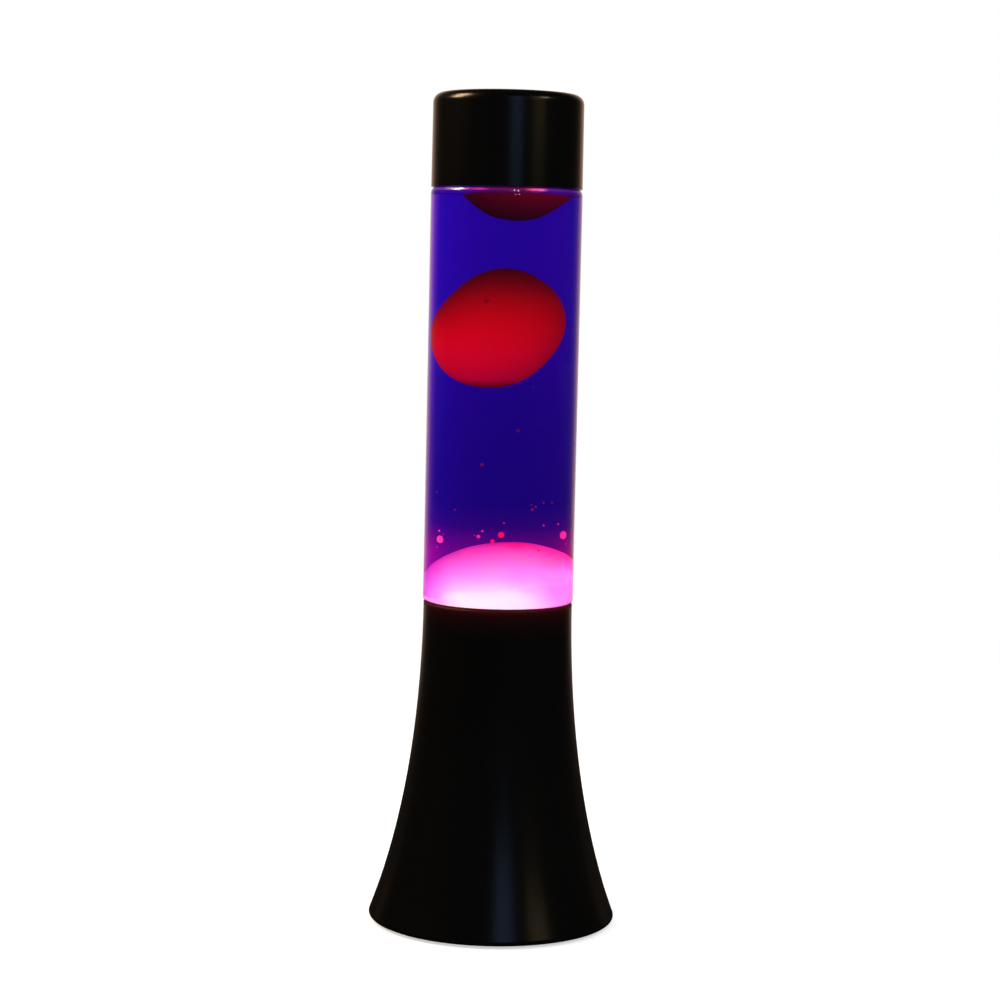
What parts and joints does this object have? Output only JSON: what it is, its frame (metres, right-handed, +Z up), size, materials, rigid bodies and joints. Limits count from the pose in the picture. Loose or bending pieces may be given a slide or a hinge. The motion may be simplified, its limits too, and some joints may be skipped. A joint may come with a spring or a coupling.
{
  "type": "liquid motion lamp",
  "caption": "Liquid motion lamp: glass bottle of wax and coloured liquid in a flared black base that hides a reflector bulb, with a black cap.",
  "frame": {"origin": "middle of the footprint, on the surface that the rubber feet rest on", "axes": "+Z up the lamp; +Y to the back, where the cord inlet is; +X to the right seen from the front"},
  "size_m": [0.0988, 0.0988, 0.33],
  "materials": {
    "black_enamel": "satin",
    "zinc_plated": "satin",
    "black_rubber": "matte",
    "white_thermoset": "gloss",
    "glazed_ceramic": "gloss",
    "brass": "satin",
    "clear_nylon": "satin",
    "brown_sleeve": "matte",
    "blue_sleeve": "matte",
    "nickelled_cap": "satin",
    "black_glass": "gloss",
    "solder": "satin",
    "bulb_glass": "gloss",
    "support_wire": "satin",
    "tungsten": "matte",
    "clear_glass": "gloss",
    "crown_steel": "gloss",
    "liner": "matte",
    "violet_liquid": "gloss",
    "pool_wax": "satin",
    "red_wax": "satin",
    "heat_coil_steel": "satin",
    "dark_polystyrene": "matte"
  },
  "bodies": {
    "base": {"base_shell": "black_enamel", "seat_ring": "black_enamel", "base_plate": "zinc_plated", "plate_lugs": "zinc_plated", "plate_screws": "zinc_plated", "rubber_feet": "black_rubber", "cord_grommet": "black_rubber", "holder_bracket": "zinc_plated", "bracket_screws": "zinc_plated", "threaded_nipple": "zinc_plated", "lock_nut": "zinc_plated", "lampholder_dome": "white_thermoset", "lampholder_skirt": "white_thermoset", "holder_insert": "glazed_ceramic", "holder_screw_shell": "brass", "holder_centre_contact": "brass", "holder_terminals": "brass", "holder_terminal_screws": "zinc_plated", "terminal_block": "clear_nylon", "terminal_barrels": "brass", "terminal_screws": "zinc_plated", "block_fixing_screw": "zinc_plated", "live_lead": "brown_sleeve", "neutral_lead": "blue_sleeve"},
    "bulb_carrier": {"bulb_contact": "solder", "bulb_insulator": "black_glass"},
    "bulb": {"bulb_cap_shell": "nickelled_cap", "bulb_envelope": "bulb_glass", "bulb_stem": "bulb_glass", "bulb_supports": "support_wire", "bulb_filament": "tungsten"},
    "bottle": {"bottle_glass": "clear_glass", "crown_cap": "crown_steel", "crown_liner": "liner", "liquid": "violet_liquid", "wax_pool": "pool_wax", "wax_droplets": "red_wax", "heat_coil": "heat_coil_steel"},
    "wax_mid": {"wax_blob_mid": "red_wax"},
    "wax_top": {"wax_blob_top": "red_wax"},
    "cap": {"top_cap": "black_enamel", "cap_centring_ring": "dark_polystyrene"}
  },
  "joints": [
    {"name": "bottle_lift", "type": "slide", "parent": "base", "child": "bottle", "axis": [0, 0, 1], "range_m": [0, 0.06]},
    {"name": "cap_lift", "type": "slide", "parent": "bottle", "child": "cap", "axis": [0, 0, 1], "range_m": [0, 0.045]},
    {"name": "bulb_rise", "type": "slide", "parent": "base", "child": "bulb_carrier", "axis": [0, 0, 1], "range_m": [0, 0.00991]},
    {"name": "bulb_turn", "type": "hinge", "parent": "bulb_carrier", "child": "bulb", "pos_m": [0, 0, 0.0327], "axis": [0, 0, 1], "range_deg": [0, 1260]},
    {"name": "blob_mid_drift", "type": "slide", "parent": "bottle", "child": "wax_mid", "axis": [0, 0, 1], "range_m": [-0.058, 0.009], "deforming": ["liquid"]},
    {"name": "blob_top_drift", "type": "slide", "parent": "bottle", "child": "wax_top", "axis": [0, 0, 1], "range_m": [-0.0085, 0], "deforming": ["liquid"]}
  ],
  "couplings": [
    {"joint": "bulb_rise", "follows": "bulb_turn", "m_per_rad": 0.00044914}
  ]
}
